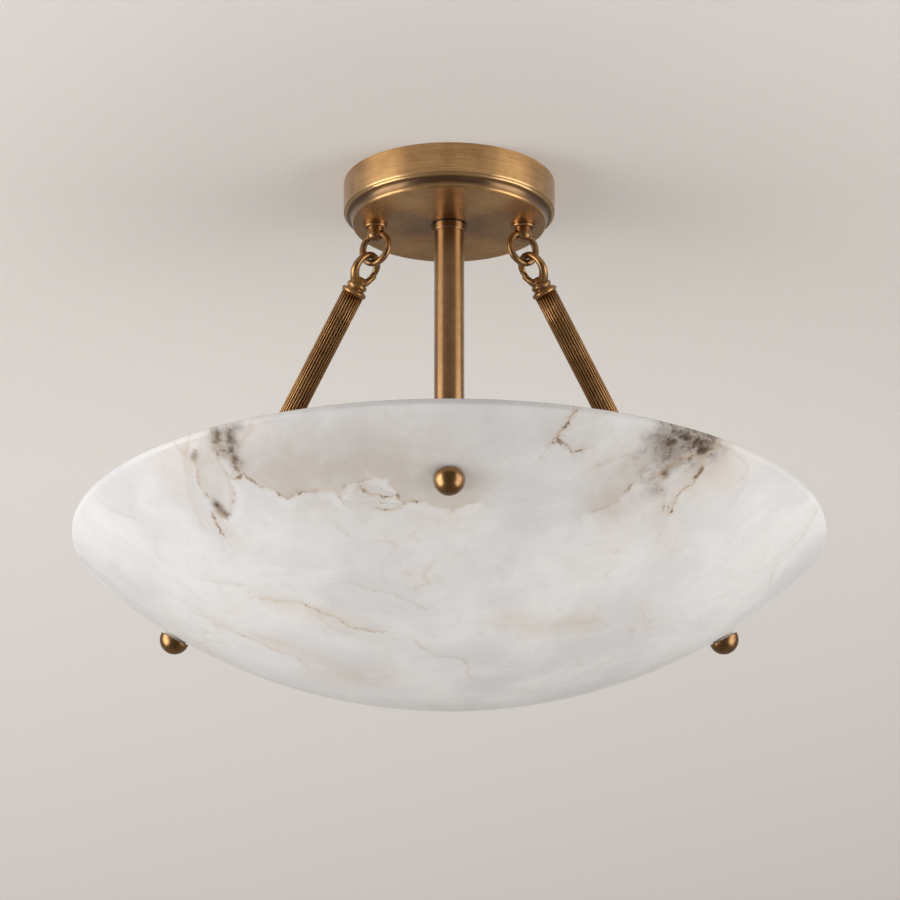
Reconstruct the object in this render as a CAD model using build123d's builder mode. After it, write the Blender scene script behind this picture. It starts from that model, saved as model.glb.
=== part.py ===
"""Semi flush ceiling light: a shallow alabaster bowl under a turned brass canopy.

A central stem carries a lamp cluster and a three-armed spider inside the bowl.
Two fluted stays hook into rings on the canopy and run down to the rear seats of
the bowl. Three ball finials screw in from below and clamp the bowl at its seats.

Millimetres, +Z up. The origin is the middle of the ceiling mount, so z = 0 is the
ceiling plane and everything hangs below it. The front of the light faces -Y.
"""

from build123d import *
from math import cos, degrees, radians, sin, sqrt, tan
import os

os.makedirs("parts", exist_ok=True)

# Fits that many pieces share
thread_clearance = 0.05
running_clearance = 0.05
turning_gap = 0.35
seat_gap = 0.05

# Alabaster bowl, 457 mm or 18 in across: a cap of a sphere under a low upright lip
bowl_radius = 228.5
bowl_depth = 94.5
bowl_wall = 9.0
rim_drop = 231.5
lip_height = 3.6
lip_round = 1.0
rim_round = 1.5

# Canopy, spun and turned from brass
canopy_radius = 65.4
canopy_height = 27.3
canopy_wall = 1.5
canopy_side = 18.6
canopy_edge_round = 1.3
canopy_bead = 1.2
canopy_cove_width = 2.8
canopy_cove_height = 4.0
canopy_ridge_round = 1.6

# Central stem, its collar and its threaded nipples
stem_radius = 9.3
stem_wall = 1.5
stem_top_gap = 8.0
stem_bush_length = 12.0
collar_wall = 0.95
collar_height = 5.2
collar_round = 0.7
nipple_radius = 5.0
nipple_bore = 3.5
nipple_window_width = 4.2
nipple_window_height = 9.0

# Crossbar that screws to the ceiling box
crossbar_length = 108.0
crossbar_width = 22.0
crossbar_thickness = 2.0
box_screw_spacing = 69.85
box_slot_length = 12.0
box_slot_width = 5.0
ground_screw_radius = 2.1
ground_screw_place = 17.0
ground_head_radius = 3.9
ground_head_height = 2.4

# Hangers, one on each side of the canopy, each with a ring in its eye
hanger_inset = 19.8
hanger_flange_radius = 7.4
hanger_flange_height = 2.6
hanger_post_radius = 5.2
hanger_post_round = 3.6
hanger_eye_drop = 5.8
hanger_eye_web = 2.3
hanger_spigot_radius = 3.0
hanger_spigot_height = 8.5
hanger_nut_across = 10.0
hanger_nut_height = 3.0
ring_radius = 9.6
ring_wire = 2.1

# Hook ends of the stays
hook_radius = 9.2
hook_wire = 2.1
hook_split = 1.6
hook_split_angle = 84.0
hook_bearing_angle = 24.0
hook_root_angle = 80.0
hook_root_wire = 3.3
hook_nub_radius = 1.7
hook_nub_length = 3.4
collar_bite = 0.4
link_gap = 0.4
small_bead_radius = 6.0
small_bead_height = 2.6
bell_neck_radius = 5.2
bell_foot_radius = 6.6
bell_height = 4.3
large_bead_radius = 8.2
large_bead_height = 3.5

# Fluted stays
stay_radius = 7.0
stay_wall = 2.0
flute_count = 24
flute_radius = 0.75
flute_depth = 0.55
tie_rod_radius = 3.0
tie_rod_grip = 6.0
ferrule_length = 16.0
ferrule_neck_radius = 5.8
ferrule_foot_radius = 6.8
ferrule_foot_height = 3.0

# Seats of the bowl and the finials that clamp it
finial_angle = 34.9
rear_azimuth = 117.5
pad_thickness = 2.0
pad_radius = 8.0
washer_thickness = 1.2
washer_radius = 7.0
finial_radius = 9.2
finial_rise = 0.6
finial_gap = 0.1
stud_radius = 2.5
stud_grip = 5.0
seat_nut_height = 5.0
seat_nut_across = 9.0

# Spider of bent flat bar
arm_width = 14.0
arm_thickness = 3.0
arm_bend_radius = 8.0
arm_bend_reach = 3.0
eye_radius = 9.0
spider_plate_radius = 21.0

# Lamp cluster
drum_radius = 24.0
drum_height = 24.0
drum_wall = 2.0
drum_edge_round = 2.5
cover_thickness = 2.0
cap_nut_radius = 9.0
cap_nut_skirt = 4.0
hex_height = 3.5
hex_across = 15.0
washer_step = 1.2

# Lampholders and round bulbs, whose necks widen evenly into the ball
lamp_turn_angle = 120.0
socket_nipple_radius = 4.5
socket_nipple_bore = 3.0
socket_nipple_end = 1.5
socket_standoff = 5.0
spacer_radius = 6.5
socket_radius = 11.0
socket_length = 26.0
socket_back = 6.0
socket_rim = 1.2
socket_rim_height = 5.0
socket_nipple_grip = 4.0
socket_nut_across = 12.0
socket_nut_height = 2.5
contact_radius = 2.2
contact_height = 1.5
contact_gap = 0.3
shell_wall = 0.9
shell_length = 18.0
shell_gap = 0.4
bulb_base_radius = 6.0
bulb_base_length = 16.0
bulb_tip_radius = 2.4
bulb_tip_length = 2.0
bulb_thread_rings = 4
bulb_thread_depth = 0.5
bulb_neck_radius = 5.8
bulb_shoulder_angle = 17.0
bulb_radius = 19.0
bulb_glass = 0.8


# Places worked out from the sizes above

lip_foot = -rim_drop - lip_height
cap_depth = bowl_depth - lip_height
sphere_radius = (bowl_radius**2 + cap_depth**2) / (2 * cap_depth)
sphere_z = sphere_radius - bowl_depth - rim_drop
inner_radius = sphere_radius - bowl_wall
face_z = -canopy_height
hanger_place = canopy_radius - hanger_inset
lamp_azimuths = {
    "front_right": lamp_turn_angle / 2,
    "back": 3 * lamp_turn_angle / 2,
    "front_left": -lamp_turn_angle / 2,
}
eye_passage = ring_wire + turning_gap


def point_at(radius, azimuth, z):
    """A point at a distance from the Z axis; azimuth runs from the front to the right."""
    turn = radians(azimuth)
    return Vector(radius * sin(turn), -radius * cos(turn), z)


def radial(azimuth):
    """The level direction outwards at an azimuth."""
    return point_at(1, azimuth, 0)


def tangent(azimuth):
    """The level direction square to the radial one."""
    turn = radians(azimuth)
    return Vector(cos(turn), sin(turn), 0)


def wall_point(azimuth):
    """The middle of a seat, on the outer face of the bowl."""
    lean = radians(finial_angle)
    return point_at(sphere_radius * sin(lean), azimuth, sphere_z - sphere_radius * cos(lean))


class Seat:
    """One of the three places where the bowl is clamped.

    The seat's axis points out through the wall, and depths are counted along it
    from the outer face, so what lies inside the bowl has a negative offset.
    """

    def __init__(self, azimuth, axis, across):
        self.azimuth = azimuth
        self.point = wall_point(azimuth)
        self.axis = axis
        self.across = across
        arm = self.point - Vector(0, 0, sphere_z)
        reach = arm.dot(axis)
        self.wall = reach - sqrt(reach**2 - sphere_radius**2 + inner_radius**2)
        self.eye_face = self.wall + pad_thickness
        self.eye_back = self.eye_face + arm_thickness

    def plane(self, offset):
        """A plane square to the seat's axis, with its z direction outwards."""
        return Plane(origin=self.point + self.axis * offset, x_dir=self.across, z_dir=self.axis)


class Stay:
    """The straight line of one stay, from the top of its hook to its seat."""

    def __init__(self, side):
        self.eye = Vector(side * hanger_place, 0, face_z - hanger_eye_drop)
        self.ring_centre = self.eye - Vector(0, 0, ring_radius)
        end = wall_point(side * rear_azimuth)
        level = Vector(end.X - self.eye.X, end.Y - self.eye.Y, 0)
        self.heading = level.normalized()
        self.across = Vector(-side * self.heading.Y, side * self.heading.X, 0)
        reach = ring_radius - ring_wire - hook_wire - link_gap
        bearing = radians(hook_bearing_angle)
        drop = Vector(0, 0, -reach * cos(bearing))
        self.hook_top = self.ring_centre + self.heading * (reach * sin(bearing)) + drop
        self.axis = (end - self.hook_top).normalized()
        self.length = (end - self.hook_top).length
        self.seat = Seat(side * rear_azimuth, self.axis, self.across)

    def plane(self, distance):
        """A plane square to the stay, at a distance down from the top of the hook."""
        here = self.hook_top + self.axis * distance
        return Plane(origin=here, x_dir=self.across, z_dir=self.axis)

    def profile_plane(self, distance):
        """A plane for turned profiles: x is the radius and y runs down the stay."""
        here = self.hook_top + self.axis * distance
        return Plane(origin=here, x_dir=self.across, z_dir=self.across.cross(self.axis))

    def centre_line(self):
        """The axis that the stay's turned pieces are revolved about."""
        return Axis(self.hook_top, self.axis)


stays = {"left": Stay(-1), "right": Stay(1)}
front_axis = (wall_point(0) - Vector(0, 0, sphere_z)).normalized()
seats = {
    "front": Seat(0, front_axis, Vector(1, 0, 0)),
    "left": stays["left"].seat,
    "right": stays["right"].seat,
}


# The bowl: a cap of a sphere with an even wall, an upright lip, a flat rim with
# softened edges, and three drilled holes for the finial studs

inner_rim_radius = sqrt(inner_radius**2 - (sphere_z + rim_drop) ** 2)
stud_hole = stud_radius + turning_gap

with BuildPart() as bowl:
    with BuildSketch(Plane.XZ) as bowl_profile:
        with BuildLine():
            half_lean = radians(finial_angle / 2)
            outer_mid = (sphere_radius * sin(half_lean), sphere_z - sphere_radius * cos(half_lean))
            inner_mid = (inner_radius * sin(half_lean), sphere_z - inner_radius * cos(half_lean))
            bottom = (0, sphere_z - sphere_radius)
            floor = (0, sphere_z - inner_radius)
            ThreePointArc(bottom, outer_mid, (bowl_radius, lip_foot))
            Line((bowl_radius, lip_foot), (bowl_radius, -rim_drop))
            Line((bowl_radius, -rim_drop), (inner_rim_radius, -rim_drop))
            ThreePointArc((inner_rim_radius, -rim_drop), inner_mid, floor)
            Line(floor, bottom)
        make_face()
        rim_corners = bowl_profile.vertices().group_by(Axis.Y)[-1]
        fillet(rim_corners, radius=rim_round)
        lip_corner = bowl_profile.vertices().sort_by_distance((bowl_radius, lip_foot, 0))[0]
        fillet(lip_corner, radius=lip_round)
    revolve(axis=Axis.Z)
    for seat in seats.values():
        with Locations(seat.plane(0)):
            Cylinder(stud_hole, 4 * bowl_wall, mode=Mode.SUBTRACT)
bowl.part.label = "bowl"
export_step(bowl.part, "parts/bowl.step")


# Rubber pads inside the bowl and felt washers outside it, each cut to the wall's curve

with BuildPart() as inner_pads:
    for seat in seats.values():
        with Locations(seat.plane(-seat.eye_face)):
            Cylinder(pad_radius, 2 * pad_thickness, align=(Align.CENTER, Align.CENTER, Align.MIN))
    with Locations((0, 0, sphere_z)):
        Sphere(inner_radius - seat_gap, mode=Mode.INTERSECT)
    for seat in seats.values():
        with Locations(seat.plane(0)):
            Cylinder(stud_hole, 4 * bowl_wall, mode=Mode.SUBTRACT)
inner_pads.part.label = "inner_pads"
export_step(inner_pads.part, "parts/inner_pads.step")

with BuildPart() as outer_washers:
    for seat in seats.values():
        with Locations(seat.plane(washer_thickness)):
            Cylinder(washer_radius, 2 * washer_thickness, align=(Align.CENTER, Align.CENTER, Align.MAX))
    with Locations((0, 0, sphere_z)):
        Sphere(sphere_radius + seat_gap, mode=Mode.SUBTRACT)
    for seat in seats.values():
        with Locations(seat.plane(0)):
            Cylinder(stud_hole, 4 * bowl_wall, mode=Mode.SUBTRACT)
outer_washers.part.label = "outer_washers"
export_step(outer_washers.part, "parts/outer_washers.step")


# Ball finials: a little more than half a ball, with the stud that screws into
# the seat nut at the front and into the stay's foot at the sides

for name, seat in seats.items():
    stud_length = washer_thickness + finial_gap + seat.eye_back + stud_grip
    with BuildPart(seat.plane(washer_thickness + finial_gap)) as finial:
        with Locations((0, 0, finial_rise)):
            Sphere(finial_radius)
        Cylinder(
            2 * finial_radius,
            2 * finial_radius,
            align=(Align.CENTER, Align.CENTER, Align.MAX),
            mode=Mode.SUBTRACT,
        )
        Cylinder(stud_radius, stud_length, align=(Align.CENTER, Align.CENTER, Align.MAX))
    finial.part.label = f"{name}_finial"
    export_step(finial.part, f"parts/{name}_finial.step")


# Spider: a centre plate and three bent bars, each ending in an eye that faces
# its seat; the arms run level and turn up along the wall

front_seat = seats["front"]
lean = radians(finial_angle)
eye_mid_depth = front_seat.eye_face + arm_thickness / 2
eye_mid = front_seat.point - front_seat.axis * eye_mid_depth
bend_run = eye_radius + arm_bend_reach
arm_z = eye_mid.Z - bend_run * sin(lean)
spider_top = arm_z + arm_thickness / 2
spider_foot = arm_z - arm_thickness / 2

with BuildPart() as spider:
    with BuildSketch(Plane.XY.offset(spider_foot)):
        Circle(spider_plate_radius)
    extrude(amount=arm_thickness)
    for seat in seats.values():
        middle = seat.point - seat.axis * (seat.eye_face + arm_thickness / 2)
        reach = sqrt(middle.X**2 + middle.Y**2)
        outward = Vector(middle.X, middle.Y, 0).normalized()
        sideways = Vector(-outward.Y, outward.X, 0)
        knee = reach - (middle.Z - arm_z) * cos(lean) / sin(lean)
        start = outward * (spider_plate_radius / 2) + Vector(0, 0, arm_z)
        with BuildLine(Plane(origin=(0, 0, 0), x_dir=outward, z_dir=-sideways)) as arm_path:
            FilletPolyline(
                (spider_plate_radius / 2, arm_z),
                (knee, arm_z),
                (reach, middle.Z),
                radius=arm_bend_radius,
            )
        with BuildSketch(Plane(origin=start, x_dir=sideways, z_dir=outward)):
            Rectangle(arm_width, arm_thickness)
        sweep(path=arm_path.wires()[0])
        with Locations(seat.plane(-seat.eye_face)):
            Cylinder(eye_radius, arm_thickness, align=(Align.CENTER, Align.CENTER, Align.MAX))
            Cylinder(
                eye_radius + arm_bend_reach,
                arm_thickness,
                align=(Align.CENTER, Align.CENTER, Align.MIN),
                mode=Mode.SUBTRACT,
            )
            Cylinder(stud_hole, 4 * arm_thickness, mode=Mode.SUBTRACT)
        with Locations(seat.plane(-seat.eye_back)):
            Cylinder(
                eye_radius,
                arm_thickness,
                align=(Align.CENTER, Align.CENTER, Align.MAX),
                mode=Mode.SUBTRACT,
            )
    with Locations((0, 0, arm_z)):
        Cylinder(nipple_radius + thread_clearance, 2 * arm_thickness, mode=Mode.SUBTRACT)
spider.part.label = "spider"
export_step(spider.part, "parts/spider.step")


# Hex nut that takes the front finial's stud, on the back of the front eye

with BuildPart() as front_seat_nut:
    with BuildSketch(front_seat.plane(-front_seat.eye_back)):
        RegularPolygon(seat_nut_across / 2, 6, major_radius=False)
        Circle(stud_radius + running_clearance, mode=Mode.SUBTRACT)
    extrude(amount=-seat_nut_height)
front_seat_nut.part.label = "front_seat_nut"
export_step(front_seat_nut.part, "parts/front_seat_nut.step")


# Canopy: a turned pan with a straight side, a bead, a cove and a rounded ridge
# that leads into its flat face; the stem and the hanger spigots pass through it

side_foot = -canopy_side - canopy_edge_round
bead_top_radius = canopy_radius - canopy_edge_round
bead_foot_radius = bead_top_radius - canopy_bead
cove_radius = bead_foot_radius - canopy_cove_width
cove_top = side_foot - canopy_bead
cove_foot = cove_top - canopy_cove_height
face_radius = cove_radius - canopy_ridge_round
shell_radius = canopy_radius - canopy_wall
step_radius = face_radius - canopy_wall / 2

with BuildPart() as canopy:
    with BuildSketch(Plane.XZ) as canopy_profile:
        with BuildLine():
            Line((shell_radius, 0), (canopy_radius, 0))
            Line((canopy_radius, 0), (canopy_radius, -canopy_side))
            CenterArc((bead_top_radius, -canopy_side), canopy_edge_round, 0, -90)
            CenterArc((bead_foot_radius, side_foot), canopy_bead, 0, -90)
            EllipticalCenterArc(
                (bead_foot_radius, cove_foot), canopy_cove_width, canopy_cove_height, 90, arc_size=90
            )
            Line((cove_radius, cove_foot), (cove_radius, face_z + canopy_ridge_round))
            CenterArc((face_radius, face_z + canopy_ridge_round), canopy_ridge_round, 0, -90)
            Line((face_radius, face_z), (0, face_z))
            Line((0, face_z), (0, face_z + canopy_wall))
            Line((0, face_z + canopy_wall), (step_radius, face_z + canopy_wall))
            Line((step_radius, face_z + canopy_wall), (step_radius, cove_top))
            Line((step_radius, cove_top), (shell_radius, -canopy_side))
            Line((shell_radius, -canopy_side), (shell_radius, 0))
        make_face()
    revolve(axis=Axis.Z)
    with Locations((0, 0, face_z)):
        Cylinder(stem_radius + turning_gap / 2, 4 * canopy_wall, mode=Mode.SUBTRACT)
        with GridLocations(2 * hanger_place, 0, 2, 1):
            Cylinder(hanger_spigot_radius + thread_clearance, 4 * canopy_wall, mode=Mode.SUBTRACT)
canopy.part.label = "canopy"
export_step(canopy.part, "parts/canopy.step")


# Crossbar: a flat strap with a tapped centre, two slots for the ceiling box screws
# and a ground screw; the short nipple screws into it and is locked by a nut

with BuildPart() as crossbar:
    with BuildSketch():
        SlotOverall(crossbar_length, crossbar_width)
        Circle(nipple_radius + thread_clearance, mode=Mode.SUBTRACT)
        with GridLocations(box_screw_spacing, 0, 2, 1):
            SlotOverall(box_slot_length, box_slot_width, mode=Mode.SUBTRACT)
        with Locations((ground_screw_place, 0)):
            Circle(ground_screw_radius + thread_clearance, mode=Mode.SUBTRACT)
    extrude(amount=-crossbar_thickness)
crossbar.part.label = "crossbar"
export_step(crossbar.part, "parts/crossbar.step")

with BuildPart(Plane.XY.offset(-crossbar_thickness)) as ground_screw:
    with Locations((ground_screw_place, 0)):
        Cylinder(
            ground_head_radius, ground_head_height, align=(Align.CENTER, Align.CENTER, Align.MAX)
        )
        Cylinder(
            ground_screw_radius,
            crossbar_thickness - seat_gap,
            align=(Align.CENTER, Align.CENTER, Align.MIN),
        )
    fillet(ground_screw.edges().filter_by(GeomType.CIRCLE).sort_by(Axis.Z)[0], radius=ground_head_height / 3)
    with Locations((ground_screw_place, 0, -ground_head_height)):
        Box(
            2 * ground_head_radius,
            ground_head_height / 3,
            ground_head_height / 2,
            align=(Align.CENTER, Align.CENTER, Align.MIN),
            mode=Mode.SUBTRACT,
        )
ground_screw.part.label = "ground_screw"
export_step(ground_screw.part, "parts/ground_screw.step")

with BuildPart() as top_lock_washer:
    with BuildSketch(Plane.XY.offset(-crossbar_thickness)):
        Circle(hex_across / 2)
        Circle(nipple_radius + turning_gap, mode=Mode.SUBTRACT)
    extrude(amount=-washer_step)
top_lock_washer.part.label = "top_lock_washer"
export_step(top_lock_washer.part, "parts/top_lock_washer.step")

with BuildPart() as top_locknut:
    with BuildSketch(Plane.XY.offset(-crossbar_thickness - washer_step)):
        RegularPolygon(hex_across / 2, 6, major_radius=False)
        Circle(nipple_radius + thread_clearance, mode=Mode.SUBTRACT)
    extrude(amount=-hex_height)
top_locknut.part.label = "top_locknut"
export_step(top_locknut.part, "parts/top_locknut.step")


# Central stem: a plain tube with a threaded bush in each end, hung on the short
# nipple; the collar screws up round it and holds the canopy to the ceiling

stem_top = -crossbar_thickness - stem_top_gap
cover_top = spider_top + cover_thickness
stem_foot = cover_top + drum_height
stem_inner = stem_radius - stem_wall
bush_end = stem_bush_length - 2 * washer_step

with BuildPart() as stem_tube:
    with BuildSketch(Plane.XY.offset(stem_foot)):
        Circle(stem_radius)
        Circle(stem_inner, mode=Mode.SUBTRACT)
    extrude(amount=stem_top - stem_foot)
stem_tube.part.label = "stem_tube"
export_step(stem_tube.part, "parts/stem_tube.step")

for name, height in (("top", stem_top - stem_bush_length), ("bottom", stem_foot)):
    with BuildPart() as stem_bush:
        with BuildSketch(Plane.XY.offset(height)):
            Circle(stem_inner - seat_gap)
            Circle(nipple_radius + thread_clearance, mode=Mode.SUBTRACT)
        extrude(amount=stem_bush_length)
    stem_bush.part.label = f"stem_{name}_bush"
    export_step(stem_bush.part, f"parts/stem_{name}_bush.step")

with BuildPart() as top_nipple:
    with BuildSketch(Plane.XY.offset(stem_top - bush_end)):
        Circle(nipple_radius)
        Circle(nipple_bore, mode=Mode.SUBTRACT)
    extrude(amount=-seat_gap - (stem_top - bush_end))
top_nipple.part.label = "top_nipple"
export_step(top_nipple.part, "parts/top_nipple.step")

with BuildPart() as canopy_collar:
    with BuildSketch(Plane.XY.offset(face_z - finial_gap)):
        Circle(stem_radius + running_clearance + collar_wall)
        Circle(stem_radius + running_clearance, mode=Mode.SUBTRACT)
    extrude(amount=-collar_height)
    rim = canopy_collar.edges().filter_by(GeomType.CIRCLE).group_by(Axis.Z)[0].sort_by(SortBy.LENGTH)[-1]
    fillet(rim, radius=collar_round)
canopy_collar.part.label = "canopy_collar"
export_step(canopy_collar.part, "parts/canopy_collar.step")


# Hangers: a flanged post with a rounded end and a curved eye for the ring; the
# threaded spigot goes up through the canopy's face to a washer and a nut

post_length = hanger_eye_drop + eye_passage + hanger_eye_web
washer_z = face_z + canopy_wall

for name, stay in stays.items():
    ring_plane = Plane(origin=stay.ring_centre, x_dir=stay.heading, z_dir=stay.across)
    with BuildPart() as hanger:
        with Locations((stay.eye.X, 0, face_z)):
            Cylinder(
                hanger_flange_radius, hanger_flange_height, align=(Align.CENTER, Align.CENTER, Align.MAX)
            )
        flange_edge = hanger.edges().filter_by(GeomType.CIRCLE).sort_by(Axis.Z)[0]
        fillet(flange_edge, radius=hanger_flange_height / 2)
        with Locations((stay.eye.X, 0, face_z)):
            Cylinder(hanger_post_radius, post_length, align=(Align.CENTER, Align.CENTER, Align.MAX))
        post_edge = hanger.edges().filter_by(GeomType.CIRCLE).sort_by(Axis.Z)[0]
        fillet(post_edge, radius=hanger_post_round)
        with Locations((stay.eye.X, 0, face_z)):
            Cylinder(
                hanger_spigot_radius,
                hanger_spigot_height,
                align=(Align.CENTER, Align.CENTER, Align.MIN),
            )
        with Locations(ring_plane):
            Torus(ring_radius, eye_passage, mode=Mode.SUBTRACT)
    hanger.part.label = f"{name}_hanger"
    export_step(hanger.part, f"parts/{name}_hanger.step")

    with BuildPart() as ring:
        with Locations(ring_plane):
            Torus(ring_radius, ring_wire)
    ring.part.label = f"{name}_ring"
    export_step(ring.part, f"parts/{name}_ring.step")

with BuildPart() as hanger_washers:
    with BuildSketch(Plane.XY.offset(washer_z)):
        with GridLocations(2 * hanger_place, 0, 2, 1):
            Circle(hanger_nut_across / 2 + washer_step)
            Circle(hanger_spigot_radius + thread_clearance, mode=Mode.SUBTRACT)
    extrude(amount=washer_step)
hanger_washers.part.label = "hanger_washers"
export_step(hanger_washers.part, "parts/hanger_washers.step")

with BuildPart() as hanger_nuts:
    with BuildSketch(Plane.XY.offset(washer_z + washer_step)):
        with GridLocations(2 * hanger_place, 0, 2, 1):
            RegularPolygon(hanger_nut_across / 2, 6, major_radius=False)
            Circle(hanger_spigot_radius + thread_clearance, mode=Mode.SUBTRACT)
    extrude(amount=hanger_nut_height)
hanger_nuts.part.label = "hanger_nuts"
export_step(hanger_nuts.part, "parts/hanger_nuts.step")


# Stays: a split hook cast in one with its turned collar, a fluted tube, and a
# ferrule at the foot; a tie rod screws into both ends and clamps the tube. The
# hook swells where it leaves the collar and has a small nub at its cut end

collar_top = 2 * hook_radius - hook_wire + collar_bite
bell_top = collar_top + small_bead_height
bell_foot = bell_top + bell_height
tube_top = bell_foot + large_bead_height
flute_place = stay_radius - flute_depth + flute_radius
hook_bead_angle = degrees(hook_root_wire / hook_radius)
nub_turn = radians(hook_split_angle) - (hook_split / 2 + hook_nub_radius) / hook_radius

for name, stay in stays.items():
    hook_centre = stay.hook_top + stay.axis * hook_radius
    hook_plane = Plane(origin=hook_centre, x_dir=stay.axis, z_dir=stay.axis.cross(stay.across))
    ferrule_foot = stay.length - stay.seat.eye_back
    ferrule_top = ferrule_foot - ferrule_length
    foot_band = ferrule_foot - ferrule_foot_height

    with BuildPart() as hook_end:
        with BuildSketch(stay.profile_plane(0)):
            with BuildLine():
                Line((0, tube_top), (0, collar_top))
                Line((0, collar_top), (small_bead_radius - small_bead_height / 2, collar_top))
                ThreePointArc(
                    (small_bead_radius - small_bead_height / 2, collar_top),
                    (small_bead_radius, collar_top + small_bead_height / 2),
                    (small_bead_radius - small_bead_height / 2, bell_top),
                )
                Line((small_bead_radius - small_bead_height / 2, bell_top), (bell_neck_radius, bell_top))
                bell_middle = (bell_neck_radius + bell_height / 12, (bell_top + bell_foot) / 2)
                ThreePointArc((bell_neck_radius, bell_top), bell_middle, (bell_foot_radius, bell_foot))
                ThreePointArc(
                    (bell_foot_radius, bell_foot),
                    (large_bead_radius, bell_foot + large_bead_height / 2),
                    (bell_foot_radius, tube_top),
                )
                Line((bell_foot_radius, tube_top), (0, tube_top))
            make_face()
        revolve(axis=stay.centre_line())
        with Locations(hook_plane):
            Torus(hook_radius, hook_wire)
        with BuildLine(hook_plane) as root_path:
            CenterArc((0, 0), hook_radius, -hook_root_angle, hook_root_angle - hook_bead_angle)
        root_line = root_path.wires()[0]
        with BuildSketch(Plane(origin=root_line @ 0, z_dir=root_line % 0)):
            Circle(hook_wire)
        with BuildSketch(Plane(origin=root_line @ 1, z_dir=root_line % 1)):
            Circle(hook_root_wire)
        sweep(path=root_line, multisection=True)
        with Locations(hook_plane):
            with PolarLocations(hook_radius, 1, start_angle=hook_split_angle):
                Box(4 * hook_wire, hook_split, 4 * hook_wire, mode=Mode.SUBTRACT)
        nub_dir = stay.axis * cos(nub_turn) + stay.across * sin(nub_turn)
        nub_foot = hook_centre + nub_dir * hook_radius
        with BuildSketch(Plane(origin=nub_foot, z_dir=nub_dir)):
            Circle(hook_nub_radius)
        extrude(amount=hook_nub_length)
        with Locations(stay.plane(tube_top)):
            Cylinder(
                tie_rod_radius + thread_clearance,
                tie_rod_grip + seat_gap,
                align=(Align.CENTER, Align.CENTER, Align.MAX),
                mode=Mode.SUBTRACT,
            )
    hook_end.part.label = f"{name}_hook_end"
    export_step(hook_end.part, f"parts/{name}_hook_end.step")

    with BuildPart() as fluted_tube:
        with BuildSketch(stay.plane(tube_top)):
            Circle(stay_radius)
            with PolarLocations(flute_place, flute_count):
                Circle(flute_radius, mode=Mode.SUBTRACT)
            Circle(stay_radius - stay_wall, mode=Mode.SUBTRACT)
        extrude(amount=ferrule_top - tube_top)
    fluted_tube.part.label = f"{name}_fluted_tube"
    export_step(fluted_tube.part, f"parts/{name}_fluted_tube.step")

    with BuildPart() as tie_rod:
        with BuildSketch(stay.plane(tube_top - tie_rod_grip)):
            Circle(tie_rod_radius)
        extrude(amount=ferrule_top - tube_top + 2 * tie_rod_grip)
    tie_rod.part.label = f"{name}_tie_rod"
    export_step(tie_rod.part, f"parts/{name}_tie_rod.step")

    with BuildPart() as ferrule:
        with BuildSketch(stay.profile_plane(0)):
            with BuildLine():
                Line((0, ferrule_foot), (0, ferrule_top))
                Line((0, ferrule_top), (bell_foot_radius, ferrule_top))
                ThreePointArc(
                    (bell_foot_radius, ferrule_top),
                    (large_bead_radius, ferrule_top + large_bead_height / 2),
                    (bell_foot_radius, ferrule_top + large_bead_height),
                )
                ThreePointArc(
                    (bell_foot_radius, ferrule_top + large_bead_height),
                    (ferrule_neck_radius, (ferrule_top + ferrule_foot) / 2),
                    (ferrule_foot_radius, foot_band),
                )
                Line((ferrule_foot_radius, foot_band), (ferrule_foot_radius, ferrule_foot))
                Line((ferrule_foot_radius, ferrule_foot), (0, ferrule_foot))
            make_face()
        revolve(axis=stay.centre_line())
        with Locations(stay.plane(ferrule_top)):
            Cylinder(
                tie_rod_radius + thread_clearance,
                tie_rod_grip + seat_gap,
                align=(Align.CENTER, Align.CENTER, Align.MIN),
                mode=Mode.SUBTRACT,
            )
        with Locations(stay.plane(ferrule_foot)):
            Cylinder(
                stud_radius + running_clearance,
                stud_grip + turning_gap,
                align=(Align.CENTER, Align.CENTER, Align.MAX),
                mode=Mode.SUBTRACT,
            )
    ferrule.part.label = f"{name}_ferrule"
    export_step(ferrule.part, f"parts/{name}_ferrule.step")


# Lamp cluster: a drum on a cover plate, clamped between the stem and the spider
# by a threaded nipple, with a locknut inside and a domed nut below; the nipple
# has a window on each side, where the lamps' wires leave it

lamp_z = cover_top + drum_height / 2
drum_top = cover_top + drum_height
drum_inner = drum_radius - drum_wall
nipple_foot = spider_foot - cap_nut_skirt - washer_step

with BuildPart() as cluster_cover:
    with BuildSketch(Plane.XY.offset(spider_top)):
        Circle(drum_radius)
        Circle(nipple_radius + thread_clearance, mode=Mode.SUBTRACT)
    extrude(amount=cover_thickness)
cluster_cover.part.label = "cluster_cover"
export_step(cluster_cover.part, "parts/cluster_cover.step")

with BuildPart() as cluster_drum:
    with Locations((0, 0, cover_top)):
        Cylinder(drum_radius, drum_height, align=(Align.CENTER, Align.CENTER, Align.MIN))
    fillet(cluster_drum.edges().filter_by(GeomType.CIRCLE).sort_by(Axis.Z)[-1], radius=drum_edge_round)
    with Locations((0, 0, cover_top)):
        Cylinder(
            drum_inner,
            drum_height - drum_wall,
            align=(Align.CENTER, Align.CENTER, Align.MIN),
            mode=Mode.SUBTRACT,
        )
    with Locations((0, 0, drum_top)):
        Cylinder(nipple_radius + thread_clearance, 4 * drum_wall, mode=Mode.SUBTRACT)
    for azimuth in lamp_azimuths.values():
        side_hole = Plane(
            origin=point_at(drum_radius, azimuth, lamp_z), x_dir=tangent(azimuth), z_dir=radial(azimuth)
        )
        with Locations(side_hole):
            Cylinder(socket_nipple_radius + thread_clearance, 4 * drum_wall, mode=Mode.SUBTRACT)
cluster_drum.part.label = "cluster_drum"
export_step(cluster_drum.part, "parts/cluster_drum.step")

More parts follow.
